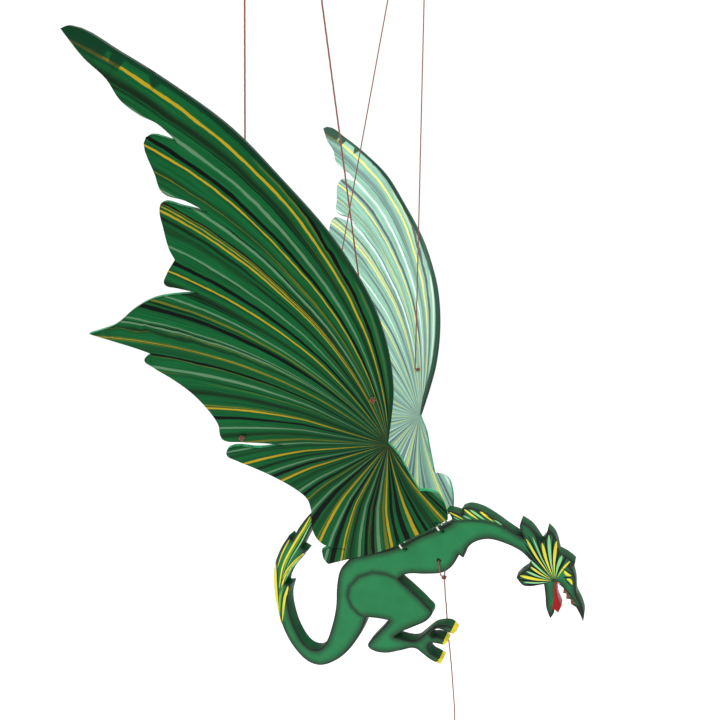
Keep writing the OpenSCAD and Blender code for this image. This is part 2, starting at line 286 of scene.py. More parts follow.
def wing_material(name, tones):
    made = material(name, roughness=0.42, specular=0.06)
    tree = Tree(made)
    fan = tree.attribute("fan")
    reach = tree.attribute("reach")
    # The hand's wobble along each stroke
    slow = tree.streaks(fan, reach, 0.16, 0.018, 2)
    wobble = tree.math("MULTIPLY", tree.math("SUBTRACT", slow, 0.5), 1.3)
    fine_grain = tree.streaks(fan, reach, 2.4, 0.16, 3)
    fray = tree.math("MULTIPLY", tree.math("SUBTRACT", fine_grain, 0.5), 0.28)
    angle = tree.math("ADD", fan, tree.math("ADD", wobble, fray))
    # Bristle marks that run along the strokes
    bristle = tree.streaks(angle, reach, 2.9, 0.02, 4)
    bristle_tone = tree.ramped(bristle, 0.3, 0.7, 0.72, 1.22)
    base = tree.mix(1.0, tones["base"], tree.vector(bristle_tone, bristle_tone, bristle_tone), "MULTIPLY")
    shade = tree.streaks(angle, reach, 0.5, 0.008, 2)
    paint = tree.mix(tree.ramped(shade, 0.45, 0.8, 0, 0.55), base, tones["shadow"])
    for low, high in SHADOW_SPANS:
        stops = [(0.0, (0, 0, 0, 1))]
        for middle, half, strength in SHADOWS:
            if low < middle < high:
                for place, value in ((middle - half, 0.0), (middle, strength), (middle + half, 0.0)):
                    stops.append(((place - low) / (high - low), (value, value, value, 1)))
        span = tree.math("MULTIPLY", tree.math("SUBTRACT", angle, low), 1 / (high - low))
        soft, _ = tree.ramp(span, stops, "EASE")
        paint = tree.mix(soft, paint, tones["shadow"])
    # Dark and light hairlines between the strokes
    hair = tree.streaks(angle, reach, 0.85, 0.004, 1)
    paint = tree.mix(tree.ramped(hair, 0.64, 0.68, 0, 0.75), paint, tones["black"])
    paint = tree.mix(tree.ramped(hair, 0.315, 0.29, 0, 0.7), paint, tones["olive"])
    # Each stroke is a wedge of cover; a level that rises with distance cuts it, so strokes stay slim
    uneven = tree.streaks(angle, reach, 0.35, 0.02, 2)
    level = tree.ramped(reach, 10, 330, 0.12, 0.6, "LINEAR")
    level = tree.math("ADD", level, tree.math("MULTIPLY", tree.math("SUBTRACT", uneven, 0.5), 0.5))
    for first in range(0, len(STROKES), PER_RAMP):
        group = STROKES[first : first + PER_RAMP]
        low = group[0][0] - 0.5
        high = group[-1][1] + 0.5
        stops = []
        for start, end, tone in group:
            for place, cover in ((start + 0.02, 0.0), ((start + end) / 2, 1.0), (end - 0.02, 0.0)):
                stops.append(((place - low) / (high - low), (*tones[tone][:3], cover)))
        span = tree.math("MULTIPLY", tree.math("SUBTRACT", angle, low), 1 / (high - low))
        colour, cover = tree.ramp(span, stops)
        above = tree.math("SUBTRACT", cover, level)
        share = tree.math("MULTIPLY", tree.ramped(above, -0.02, 0.16), tree.math("GREATER_THAN", cover, 0.01))
        share = tree.math("MULTIPLY", share, tree.ramped(bristle, 0.24, 0.4, 0.72, 1.0))
        paint = tree.mix(share, paint, colour)
    # The strokes meet in a dark knot at the elbow, the paint also darkens more broadly within about 110 mm of
    # the elbow, and the edge is rubbed a little darker
    pinch = tree.math("MAXIMUM", tree.ramped(reach, 3, 26, 0.6, 0.0), tree.ramped(reach, 10, 110, 0.34, 0.0))
    paint = tree.mix(pinch, paint, tones["shadow"])
    rim = tree.attribute("rim")
    edge_noise = tree.noise(tree.scaled(tree.place(), (1, 1, 1)), 190, 2)
    worn_edge = tree.ramped(tree.math("ADD", rim, tree.math("MULTIPLY", edge_noise, 0.7)), 0.3, 1.5, 0.5, 0.0)
    paint = tree.mix(worn_edge, paint, tones["shadow"])
    # A dark band runs along the leading edge
    band = tree.math("ADD", rim, tree.math("MULTIPLY", tree.math("SUBTRACT", slow, 0.5), 1.6))
    near_edge = tree.ramped(band, 2.2, 3.4, 0.9, 0.0)
    front = tree.math("MULTIPLY", near_edge, tree.ramped(fan, 53.2, 54.6, 1.0, 0.0))
    paint = tree.mix(front, paint, tones["edge"])
    tree.colour(paint)
    tree.roughness(tree.ramped(bristle, 0.3, 0.7, 0.3, 0.46))
    tree.normal(tree.bump(bristle, 0.00035, 0.55))
    return made


def painted(name, tone, dark, roughness=0.42, grain=260.0, specular=0.14):
    """Plain brushed paint with slight unevenness."""
    made = material(name, roughness=roughness, specular=specular)
    tree = Tree(made)
    spots = tree.noise(tree.place(), grain, 4, 0.6)
    broad = tree.noise(tree.place(), 42, 3)
    mixed = tree.mix(tree.ramped(broad, 0.35, 0.75, 0, 0.5), tone, dark)
    mixed = tree.mix(tree.ramped(spots, 0.5, 0.85, 0, 0.35), mixed, dark)
    tree.colour(mixed)
    tree.roughness(tree.ramped(spots, 0.3, 0.7, roughness - 0.08, roughness + 0.1))
    tree.normal(tree.bump(spots, 0.00025, 0.5))
    return made


def wing_wall_material():
    """Edge of a wing board: nearly black along the leading edge and bright green round the lobes."""
    made = material("wing_edge_paint", roughness=0.45, specular=0.12)
    tree = Tree(made)
    spots = tree.noise(tree.place(), 240, 4, 0.6)
    green = tree.mix(tree.ramped(spots, 0.4, 0.75), srgb(34, 138, 88), srgb(14, 92, 54))
    front = tree.ramped(tree.attribute("fan"), 52.4, 54.4, 1.0, 0.0)
    tree.colour(tree.mix(front, green, srgb(4, 44, 25)))
    tree.normal(tree.bump(spots, 0.0003, 0.5))
    return made


def body_face_material():
    """Airbrushed green: charcoal at the edges and along the thigh, brighter in the middle."""
    made = material("body_face_paint", roughness=0.45, specular=0.2)
    tree = Tree(made)
    rim = tree.attribute("rim")
    shade = tree.attribute("shade")
    cloud = tree.noise(tree.place(), 75, 3)
    speckle = tree.noise(tree.place(), 1400, 2, 0.7)
    drift = tree.math("MULTIPLY", tree.math("SUBTRACT", cloud, 0.5), 1.2)
    depth = tree.math("ADD", rim, drift)
    green = tree.mix(tree.ramped(cloud, 0.3, 0.7), srgb(25, 112, 64), srgb(31, 119, 70))
    soft = tree.ramped(depth, 0.0, 7.0, 0.78, 0.0)
    hard = tree.ramped(depth, 0.7, 3.4, 0.97, 0.0)
    dark = tree.math("MAXIMUM", tree.math("MAXIMUM", soft, hard), shade)
    grain = tree.math("MULTIPLY", tree.math("SUBTRACT", speckle, 0.5), 0.35)
    fade = tree.math("ADD", dark, tree.math("MULTIPLY", grain, tree.ramped(dark, 0.02, 0.5)), clamp=True)
    tree.colour(tree.mix(fade, green, srgb(24, 24, 21)))
    tree.roughness(tree.ramped(speckle, 0.3, 0.7, 0.36, 0.5))
    tree.normal(tree.bump(speckle, 0.00012, 0.5))
    return made


def wood_material(name, along, pale, dark):
    """Sanded wood with its grain along one axis."""
    made = material(name, roughness=0.5, specular=0.35)
    tree = Tree(made)
    stretch = [60.0, 60.0, 60.0]
    stretch[along] = 5.0
    rings = tree.noise(tree.scaled(tree.place(), stretch), 1.6, 4, 0.6, 1.2)
    fibre_stretch = [900.0, 900.0, 900.0]
    fibre_stretch[along] = 28.0
    fibre = tree.noise(tree.scaled(tree.place(), fibre_stretch), 1.0, 4, 0.65)
    bands = tree.math("FRACT", tree.math("MULTIPLY", rings, 9.0))
    stripe = tree.ramped(bands, 0.0, 1.0, 0.0, 0.8)
    colour = tree.mix(stripe, pale, dark)
    colour = tree.mix(tree.ramped(fibre, 0.45, 0.8, 0, 0.5), colour, dark)
    tree.colour(colour)
    tree.roughness(tree.ramped(fibre, 0.3, 0.7, 0.42, 0.62))
    tree.normal(tree.bump(fibre, 0.0003, 0.6))
    return made


def thread_material(name, tone, dark):
    """Twisted thread: fine fibres across the plies."""
    made = material(name, roughness=0.75, specular=0.25)
    tree = Tree(made)
    fibre = tree.noise(tree.scaled(tree.place(), (2600, 2600, 900)), 1.0, 3, 0.7)
    tree.colour(tree.mix(tree.ramped(fibre, 0.35, 0.75), tone, dark))
    tree.normal(tree.bump(fibre, 0.0001, 0.6))
    made.node_tree.nodes["Principled BSDF"].inputs["Sheen Weight"].default_value = 0.15
    return made


def steel_material():
    made = material("zinc_plated_steel", roughness=0.3)
    tree = Tree(made)
    made.node_tree.nodes["Principled BSDF"].inputs["Metallic"].default_value = 1.0
    spangle = tree.noise(tree.place(), 620, 3)
    tree.colour(tree.mix(spangle, srgb(150, 152, 156), srgb(206, 207, 208)))
    tree.roughness(tree.ramped(spangle, 0.3, 0.7, 0.24, 0.42))
    return made


# The underside takes the dark copy as painted shade, the upper face the pale copy as painted light
WING_UNDER_SHADED = wing_material("wing_underside_painted_shade", UNDERSIDE_SHADED_TONES)
WING_UPPER_LIT = wing_material("wing_upper_painted_light", UPPER_LIT_TONES)
WING_WALL = wing_wall_material()
BODY_FACE = body_face_material()
BODY_WALL = painted("body_edge_paint", srgb(8, 70, 36), srgb(5, 36, 20), specular=0.05)
RED = painted("tongue_paint", srgb(160, 20, 20), srgb(92, 8, 8), 0.35)
TOOTH = painted("tooth_paint", srgb(112, 72, 50), srgb(70, 44, 30))
CLAW = painted("claw_paint", srgb(214, 198, 42), srgb(116, 92, 26))
YELLOW = painted("yellow_stroke_paint", srgb(222, 212, 62), srgb(176, 168, 40))
LIME = painted("lime_stroke_paint", srgb(128, 178, 44), srgb(72, 124, 32))
MINT = painted("mint_stroke_paint", srgb(136, 206, 140), srgb(84, 160, 104))
BLACK = painted("black_stroke_paint", srgb(14, 20, 16), srgb(6, 8, 6))
LOOP_PAINT = painted("painted_over_cord", srgb(14, 86, 46), srgb(8, 40, 24))
BAR_WOOD = wood_material("bar_wood", 1, srgb(222, 186, 136), srgb(176, 128, 80))
BEAD_WOOD = wood_material("bead_wood", 2, srgb(226, 188, 136), srgb(182, 132, 82))
STRING = thread_material("waxed_string", srgb(142, 84, 70), srgb(88, 48, 40))
WHITE_CORD = thread_material("white_thread", srgb(238, 238, 230), srgb(186, 186, 176))
STEEL = steel_material()

floor_material = material("pale_floor", roughness=0.9, specular=0.1)
Tree(floor_material).colour(srgb(250, 250, 250))

# ---------------------------------------------------------------- mesh helpers


def finish_mesh(name, points, faces, materials, body, picks=None, sharp=50, smooth=True):
    """Makes an object from points in the row frame, in metres, and puts it on its body."""
    data = bpy.data.meshes.new(name)
    data.from_pydata([tuple(p) for p in points], [], faces)
    for entry in materials:
        data.materials.append(entry)
    if picks is not None:
        data.polygons.foreach_set("material_index", np.array(picks, np.int32))
    shaped = bmesh.new()
    shaped.from_mesh(data)
    bmesh.ops.recalc_face_normals(shaped, faces=shaped.faces)
    shaped.to_mesh(data)
    shaped.free()
    data.polygons.foreach_set("use_smooth", [smooth] * len(data.polygons))
    if smooth:
        data.set_sharp_from_angle(angle=math.radians(sharp))
    made = bpy.data.objects.new(name, data)
    SCENE.collection.objects.link(made)
    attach(made, body)
    return made


def add_attribute(target, name, values):
    made = target.data.attributes.new(name, "FLOAT", "POINT")
    made.data.foreach_set("value", np.asarray(values, np.float32))


def face_loops(node, origin, right, up, height):
    """Outlines of a CAD node's flat face, in millimetres along two directions from an origin."""
    normal = right.cross(up)
    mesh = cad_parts[node].data
    places = [(v.co - origin) / MM for v in mesh.vertices]
    keys = [(round(p.dot(right), 2), round(p.dot(up), 2)) for p in places]
    flat = [abs(p.dot(normal) - height) < 0.02 for p in places]
    steps = {}
    for polygon in mesh.polygons:
        corners = list(polygon.vertices)
        if not all(flat[i] for i in corners):
            continue
        for a, b in zip(corners, corners[1:] + corners[:1]):
            if keys[a] == keys[b]:
                continue
            if (keys[b], keys[a]) in steps:
                del steps[(keys[b], keys[a])]
            else:
                steps[(keys[a], keys[b])] = True
    following = {}
    for a, b in steps:
        following.setdefault(a, []).append(b)
    loops = []
    while following:
        start = next(iter(following))
        loop = [start]
        here = following[start].pop()
        if not following[start]:
            del following[start]
        while here != start and here in following:
            loop.append(here)
            choices = following[here]
            after = choices.pop()
            if not choices:
                del following[here]
            here = after
        if len(loop) > 5:
            loops.append(np.array(loop))
    loops.sort(key=lambda loop: -np.ptp(loop[:, 0]))
    return loops


def spaced(loop, step):
    """The loop with its long sides divided."""
    out = []
    for a, b in zip(loop, np.roll(loop, -1, axis=0)):
        parts = max(1, int(round(np.linalg.norm(b - a) / step)))
        for k in range(parts):
            out.append(a + (b - a) * k / parts)
    return np.array(out)


def distance_to(points, loops):
    """Distance of each point to the nearest side of the loops."""
    best = np.full(len(points), 1e9)
    for loop in loops:
        starts = loop
        sides = np.roll(loop, -1, axis=0) - loop
        lengths = np.maximum((sides**2).sum(1), 1e-12)
        for first in range(0, len(points), 4000):
            part = points[first : first + 4000]
            offset = part[:, None, :] - starts[None]
            share = np.clip((offset * sides[None]).sum(2) / lengths[None], 0, 1)
            gap = offset - share[..., None] * sides[None]
            nearest = np.sqrt((gap**2).sum(2)).min(1)
            best[first : first + 4000] = np.minimum(best[first : first + 4000], nearest)
    return best


def inside_of(points, loops):
    """Which points lie inside the outer loop and outside the holes."""
    inside = np.zeros(len(points), bool)
    for loop in loops:
        following = np.roll(loop, -1, axis=0)
        for a, b in zip(loop, following):
            crosses = (a[1] > points[:, 1]) != (b[1] > points[:, 1])
            if not crosses.any():
                continue
            rise = b[1] - a[1]
            at = a[0] + (points[:, 1] - a[1]) / (rise if rise else 1e-12) * (b[0] - a[0])
            inside ^= crosses & (points[:, 0] < at)
    return inside


def rounding(depth, radius):
    """How far a board's face falls at a distance from its edge."""
    near = np.clip(radius - depth, 0, radius)
    return radius - np.sqrt(np.maximum(radius**2 - near**2, 0))


def rim_points(loops, depths):
    """Rings of points just inside the edge."""
    out = []
    for loop in loops:
        side = np.roll(loop, -1, axis=0) - np.roll(loop, 1, axis=0)
        side /= np.maximum(np.linalg.norm(side, axis=1), 1e-9)[:, None]
        for depth in depths:
            for way in (-1, 1):
                normal = np.stack([-side[:, 1], side[:, 0]], 1) * way
                moved = loop + normal * depth
                keep = inside_of(moved, loops)
                moved = moved[keep]
                if len(moved):
                    keep = distance_to(moved, loops) > depth * 0.93
                    out.append(moved[keep])
    return np.concatenate(out)


def triangles(loops, extra, cuts=()):
    """Triangulated face: points and triangles, with the loops' points first."""
    points = [tuple(p) for loop in loops for p in loop]
    edges = []
    first = 0
    for loop in loops:
        count = len(loop)
        edges += [(first + k, first + (k + 1) % count) for k in range(count)]
        first += count
    points += [tuple(p) for p in extra]
    for line in cuts:
        for a, b in zip(line, line[1:]):
            points += [tuple(a), tuple(b)]
            edges.append((len(points) - 2, len(points) - 1))
    made = delaunay_2d_cdt([Vector(p) for p in points], edges, [], 0, 1e-5)
    flat = np.array([tuple(v) for v in made[0]])
    faces = np.array([tuple(f) for f in made[2]])
    middle = flat[faces].mean(1)
    faces = faces[inside_of(middle, loops)]
    used = np.unique(faces)
    renumber = np.full(len(flat), -1)
    renumber[used] = np.arange(len(used))
    return flat[used], renumber[faces]


def border_steps(faces):
    """Directed sides that only one triangle has."""
    seen = {}
    for face in faces:
        for a, b in zip(face, np.roll(face, -1)):
            key = (min(a, b), max(a, b))
            seen[key] = None if key in seen else (a, b)
    return [step for step in seen.values() if step is not None]


def board(name, loops, extra, cuts, origin, right, up, thickness, radius, materials, body, choose):
    """A board of even thickness with softly rounded edges.
    choose(points) gives each triangle's material number from its middle, for the top and for the bottom."""
    flat, faces = triangles(loops, extra, cuts)
    normal = right.cross(up)
    depth = distance_to(flat, loops)
    edge = distance_to(flat, loops[:1])
    fall = rounding(depth, radius)
    base = np.array(origin)
    plane = base + MM * (flat[:, :1] * np.array(right) + flat[:, 1:] * np.array(up))
    height = (thickness / 2 - fall)[:, None] * MM * np.array(normal)
    points = np.concatenate([plane + height, plane - height])
    count = len(flat)
    middle = flat[faces].mean(1)
    top_pick, bottom_pick, wall_pick = choose(middle)
    steps = border_steps(faces)
    walls = [(a, a + count, b + count, b) for a, b in steps]
    wall_middle = np.array([(flat[a] + flat[b]) / 2 for a, b in steps])
    wall_picks = wall_pick(wall_middle)
    every = [tuple(f) for f in faces] + [tuple(f[::-1] + count) for f in faces] + walls
    picks = np.concatenate([top_pick, bottom_pick, wall_picks])
    made = finish_mesh(name, points, every, materials, body, picks)
    add_attribute(made, "rim", np.concatenate([edge, edge]))
    return made, np.concatenate([flat, flat])


# ---------------------------------------------------------------- wings

SLOPE = math.radians(33)
LIFT = math.radians(65)
ELBOW = (14.5, 84.2)
WING_T = 4.2
ALONG = Vector((math.cos(SLOPE), 0, math.sin(SLOPE)))
RISE = Vector((-math.sin(SLOPE), 0, math.cos(SLOPE)))


def wing_frame(side):
    """Origin, outward direction and upper-face direction of a wing; side is -1 for the right wing."""
    outward = Vector((0, side * math.cos(LIFT), 0)) + RISE * math.sin(LIFT)
    face = Vector((0, -side * math.sin(LIFT), 0)) + RISE * math.cos(LIFT)
    return dragon(0, 6 * side, 0), outward, face


def fan_angle(points):
    """The stroke each point lies on, as the stroke's angle at the elbow, and the distance from it."""
    away = points - np.array(ELBOW)
    reach = np.hypot(away[:, 0], away[:, 1])
    angle = np.degrees(np.arctan2(away[:, 1], away[:, 0]))
    angle = np.where(angle < -40, angle + 360, angle)
    low = np.full(len(points), -60.0)
    high = np.full(len(points), 380.0)
    for _ in range(30):
        middle = (low + high) / 2
        inner = np.interp(middle, [42, 50, 97, 112, 235, 245, 265], [0.135, 0.105, 0.105, 0, 0, 0.13, 0.15])
        outer = np.interp(middle, [42, 50, 97, 112, 235], [0.135, 0.105, 0.105, 0.085, 0.085])
        found = middle + inner * np.minimum(reach, 60) + outer * np.maximum(reach - 60, 0)
        above = found > angle
        high = np.where(above, middle, high)
        low = np.where(above, low, middle)
    return (low + high) / 2, reach


def make_wing(side, name, body):
    origin, outward, face = wing_frame(side)
    upward = ALONG.cross(outward).dot(face) > 0
    loops = face_loops(name, origin, ALONG, outward, WING_T / 2 * (1 if upward else -1))
    loops = [spaced(loop, 2.0) if k == 0 else loop for k, loop in enumerate(loops)]
    grid = []
    reach = 2.0
    while reach < 430:
        for turn in np.radians(np.arange(36, 292, 3.0)):
            grid.append((ELBOW[0] + reach * math.cos(turn), ELBOW[1] + reach * math.sin(turn)))
        reach *= 1.06
    grid = np.array(grid)
    grid = grid[inside_of(grid, loops)]
    grid = grid[distance_to(grid, loops) > 1.0]
    extra = np.concatenate([rim_points(loops, (0.1, 0.28, 0.6)), grid])

    def choose(middle):
        # The upward face gets the pale copy as painted light, the other face the dark copy as painted shade
        top = np.full(len(middle), 1 if upward else 0)
        return top, 1 - top, lambda walls: np.full(len(walls), 2)

    made, flat = board(
        name + "_board", loops, extra, (), origin, ALONG, outward, WING_T, 0.6,
        [WING_UNDER_SHADED, WING_UPPER_LIT, WING_WALL], body, choose,
    )
    angle, reach = fan_angle(flat)
    add_attribute(made, "fan", angle)
    add_attribute(made, "reach", reach)
    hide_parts(name)


make_wing(-1, "right_wing", "right_wing")
make_wing(1, "left_wing", "left_wing")

# ---------------------------------------------------------------- body board

BODY_T = 12.0
BODY_RADIUS = 1.1
X_AXIS = Vector((1, 0, 0))
Z_AXIS = Vector((0, 0, 1))
body_loops = face_loops("body_board", HINGE, X_AXIS, Z_AXIS, -BODY_T / 2)
body_loops = [spaced(loop, 1.4) if k == 0 else loop for k, loop in enumerate(body_loops)]

TONGUE = np.array([(89.3, -29.6), (90.4, -32), (91.4, -38), (91.6, -42), (93, -48.5), (90, -55.5),
                   (85.5, -51.5), (86.6, -42), (86.4, -35), (86.6, -30.4)])
# Each claw is all of a toe beyond a line: a point on the line and the direction towards the tip
CLAWS = [((11.4, -83.4), (1, -0.3)), ((5.4, -94.4), (1, -0.2)), ((1.2, -111.2), (0.85, -0.5))]
CLAW_BOXES = [((5, 18), (-90, -78)), ((0, 11), (-99, -91.5)), ((-6, 8), (-116, -106))]
TEETH = [(98.2, -43.6, 2.6), (95.2, -40.4, 2.4), (92.9, -36.6, 2.2)]
# Airbrushed lines across the body: round the thigh and along the foot of the neck fins
THIGH = [
    (-33, -49), (-43, -46.4), (-54, -47), (-66, -53), (-74, -63), (-75.5, -72), (-72, -80), (-66, -85),
    (-60, -87),
]
FIN_FOOT = [(9.8, 4.6), (16.4, 6.6), (25.4, 8.2), (34, 8.6), (43, 7.6), (52, 4.2), (60, 0.2), (66, -2.4)]


def polyline_distance(points, line):
    best = np.full(len(points), 1e9)
    for a, b in zip(line, line[1:]):
        start = np.array(a, float)
        side = np.array(b, float) - start
        share = np.clip(((points - start) @ side) / (side @ side), 0, 1)
        gap = points - start - share[:, None] * side
        best = np.minimum(best, np.hypot(gap[:, 0], gap[:, 1]))
    return best


def body_regions(middle):
    """Material number of each part of the body's paint."""
    picks = np.zeros(len(middle), int)
    picks[inside_of(middle, [TONGUE])] = 2
    for x, z, size in TEETH:
        picks[np.hypot(middle[:, 0] - x, middle[:, 1] - z) < size] = 3
    for (start, towards), (span_x, span_z) in zip(CLAWS, CLAW_BOXES):
        ahead = (middle[:, 0] - start[0]) * towards[0] + (middle[:, 1] - start[1]) * towards[1] > 0
        within = (middle[:, 0] > span_x[0]) & (middle[:, 0] < span_x[1])
        within &= (middle[:, 1] > span_z[0]) & (middle[:, 1] < span_z[1])
        picks[ahead & within] = 4
    return picks


def choose_body(middle):
    picks = body_regions(middle)

    def wall(walls):
        found = body_regions(walls)
        return np.where(found == 0, 1, found)

    return picks, picks, wall


grid = []
row = 0
for z in np.arange(-142, 22, 1.5):
    row += 1
    for x in np.arange(-146, 112, 1.75):
        grid.append((x + (row % 2) * 0.87, z))
grid = np.array(grid)
grid = grid[inside_of(grid, body_loops)]
grid = grid[distance_to(grid, body_loops) > 1.7]
body_extra = np.concatenate([rim_points(body_loops, (0.12, 0.4, 1.1)), grid])
body_piece, body_flat = board(
    "body_painted_board", body_loops, body_extra, (list(TONGUE),), HINGE, X_AXIS, Z_AXIS, BODY_T, BODY_RADIUS,
    [BODY_FACE, BODY_WALL, RED, TOOTH, CLAW], "dragon", choose_body,
)
thigh_shade = 0.85 * np.exp(-((polyline_distance(body_flat, THIGH) / 2.1) ** 2))
fin_shade = 0.9 * np.exp(-((polyline_distance(body_flat, FIN_FOOT) / 1.6) ** 2))
add_attribute(body_piece, "shade", np.maximum(thigh_shade, fin_shade))
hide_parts("body_board")


def on_face(points, side, proud):
    """Points just above the body's face, following its rounded edge."""
    points = np.array(points, float)
    out = []
    inside = inside_of(points, body_loops)
    depth = distance_to(points, body_loops)
    fall = rounding(np.where(inside, depth, 0.0), BODY_RADIUS)
    for k, point in enumerate(points):
        height = BODY_T / 2 - fall[k] + proud[k]
        out.append(dragon(point[0], side * height, point[1]))
    return out


def brush_strokes(name, tone, strokes, swell=0.8):
    """Tapered strokes of thick paint on both faces; a stroke is its points and its greatest width.
    A larger swell puts the widest part nearer the stroke's end."""
    points = []
    faces = []
    for side in (-1, 1):
        for line, width in strokes:
            fine = spaced_line(line, 1.2)
            direction = np.gradient(fine, axis=0)
            direction /= np.maximum(np.linalg.norm(direction, axis=1), 1e-9)[:, None]
            across = np.stack([-direction[:, 1], direction[:, 0]], 1)
            share = np.linspace(0, 1, len(fine))
            half = 0.5 * width * np.maximum(np.sin(np.pi * (0.05 + 0.92 * share) ** swell), 0.05)
            first = len(points)
            for step, (offset, proud) in enumerate(((-1, -0.04), (-0.5, 0.08), (0.5, 0.08), (1, -0.04))):
                row = fine + across * (half * offset)[:, None]
                points += on_face(row, side, np.full(len(row), proud))
            count = len(fine)
            for lane in range(3):
                for k in range(count - 1):
                    a = first + lane * count + k
                    faces.append((a, a + 1, a + count + 1, a + count))
    made = finish_mesh(name, points, faces, [tone], "dragon")
    orient_outward(made)
    return made


def orient_outward(made):
    """Turns the stroke's faces so that they look away from the board's middle plane."""
    data = made.data
    shaped = bmesh.new()
    shaped.from_mesh(data)
    shaped.normal_update()
    for face in shaped.faces:
        if face.normal.y * face.calc_center_median().y < 0:
            face.normal_flip()
    shaped.to_mesh(data)
    shaped.free()


def spaced_line(line, step):
    """A smooth line through the points with even steps."""
    line = np.array(line, float)
    out = []
    for k in range(len(line) - 1):
        before = line[max(k - 1, 0)]
        a = line[k]
        b = line[k + 1]
        after = line[min(k + 2, len(line) - 1)]
        parts = max(2, int(round(np.linalg.norm(b - a) / step)))
        for j in range(parts):
            t = j / parts
            out.append(
                0.5 * (2 * a + (b - before) * t + (2 * before - 5 * a + 4 * b - after) * t * t
                       + (3 * a - before - 3 * b + after) * t**3)
            )
    out.append(line[-1])
    return np.array(out)


# Tail: long strokes down the outer spike and the two barbs
brush_strokes("tail_yellow_strokes", YELLOW, [
    ([(-141, -54), (-141.2, -72), (-140, -90), (-137, -110)], 3.0),
    ([(-129.4, -72.6), (-133.2, -86), (-135.6, -106)], 2.6),
    ([(-108, -8), (-115, -21), (-125, -38), (-134, -56), (-138, -76)], 3.2),
    ([(-114.6, -41), (-124, -51), (-132.6, -64), (-137, -82)], 2.8),
    ([(-127.6, -31), (-134.4, -44), (-139.4, -58)], 1.4),
])
brush_strokes("tail_lime_strokes", LIME, [
    ([(-103, -3), (-112, -18), (-121, -33), (-130, -50), (-135, -66)], 1.8),
    ([(-134.6, -72), (-137.6, -86), (-138, -104)], 2.4),
])
brush_strokes("tail_mint_strokes", MINT, [
    ([(-99, 1), (-108, -14), (-116, -30), (-126, -47), (-132, -60)], 1.3),
    ([(-118, -46), (-127, -57), (-133, -70)], 1.2),
])
brush_strokes("tail_black_strokes", BLACK, [
    ([(-106, -5), (-113.6, -20), (-123, -36), (-132.6, -54), (-136.4, -70)], 1.0),
    ([(-101, -2), (-110, -17), (-118.6, -32), (-128, -49), (-134, -64)], 0.9),
    ([(-130, -72), (-134.6, -82), (-137, -100)], 0.9),
    ([(-139, -58), (-139.2, -74), (-138.4, -92)], 0.9),
    ([(-116, -42.6), (-125.6, -53), (-134.2, -67), (-138, -84)], 0.8),
])

# Neck: strokes that lean back across the two fins and stop at their foot
brush_strokes("neck_yellow_strokes", YELLOW, [
    ([(7.6, 12), (12.6, 10.2), (18.4, 7.8)], 1.3),
    ([(19, 15.8), (24.2, 12.6), (29.6, 9.4)], 2.0),
    ([(30.8, 15.6), (36, 12.6), (41.2, 9.4)], 2.1),
])
brush_strokes("neck_mint_strokes", MINT, [
    ([(11, 8.8), (13.6, 7.9), (16, 7)], 1.0),
    ([(18.4, 10.8), (21.4, 9.8), (24.4, 8.8)], 1.1),
    ([(23.4, 16), (28.8, 13), (34.4, 9.8)], 2.1),
    ([(41, 10.6), (44, 9.4), (47.4, 7.6)], 1.2),
])
brush_strokes("neck_black_strokes", BLACK, [
    ([(8.6, 10), (12.6, 8.8), (17, 7)], 1.0),
    ([(21.2, 15.8), (26.8, 12.4), (32.2, 9.2)], 1.1),
    ([(27.8, 15.8), (33, 12.6), (37.8, 9.4)], 1.0),
    ([(35.2, 13.4), (39.8, 11), (43.8, 9)], 0.9),
])

# Head: strokes of the cheek frill and spikes spread from one point behind the eye
FAN_POINT = np.array((86.4, -29.6))


def ray_length(angle):
    """Distance from the fan's point to the outline along an angle in degrees."""
    direction = np.array((math.cos(math.radians(angle)), math.sin(math.radians(angle))))
    steps = np.arange(2.0, 46.0, 0.5)
    line = FAN_POINT + steps[:, None] * direction
    inside = inside_of(line, body_loops)
    out = np.where(~inside)[0]
    return steps[out[0]] if len(out) else steps[-1]


def frill(name, tone, rays, start=2.2, short=1.4):
    """Strokes that widen outwards; each ray is an angle, a greatest length and a width."""
    strokes = []
    for angle, length, width in rays:
        end = min(ray_length(angle) - short, length)
        direction = np.array((math.cos(math.radians(angle)), math.sin(math.radians(angle))))
        bend = np.array((-direction[1], direction[0])) * end * 0.03
        middle = FAN_POINT + direction * (start + end) / 2 + bend
        strokes.append(([FAN_POINT + direction * start, middle, FAN_POINT + direction * end], width))
    return brush_strokes(name, tone, strokes, swell=1.7)


frill("frill_black_strokes", BLACK, [
    (70, 22, 2.4), (85, 30, 1.8), (94, 34, 1.8), (104, 34, 2.0), (114, 36, 2.0), (122, 38, 1.8),
    (131, 34, 2.2), (137, 30, 1.6), (149, 28, 2.2), (161.5, 28, 2.4), (174, 28, 1.6), (187, 28, 2.4),
    (197, 26, 1.6),
], 0.6, 0.9)
frill("frill_yellow_strokes", YELLOW, [
    (60, 21, 1.5), (90, 35, 2.6), (109.6, 35, 2.7), (126, 36, 2.0), (155, 24, 2.2), (180, 27, 2.6),
])
frill("frill_mint_strokes", MINT, [
    (78, 22, 2.6), (99, 35, 2.8), (118, 36, 1.3), (143, 22, 2.2), (168, 26, 1.8), (192, 22, 1.6),
])
brush_strokes("eye_black", BLACK, [
    ([(92.2, -25.6), (95.4, -25), (99.4, -23.2)], 1.7),
    ([(93.6, -26.4), (96.4, -29.6), (99, -31.4)], 1.0),
    ([(91.6, -18.4), (95, -20.4), (99.4, -22.8)], 1.0),
])
brush_strokes("eye_yellow", YELLOW, [
    ([(92.8, -20.4), (94.6, -22.6), (98, -23.4)], 2.8),
    ([(94.8, -26.4), (97.2, -27), (98.7, -30)], 2.6),
])
brush_strokes("jaw_black_strokes", BLACK, [
    ([(87.6, -30.6), (92.6, -33.4), (97.6, -37.6), (103.4, -45)], 0.9),
])

# ---------------------------------------------------------------- ropes, knots and strings


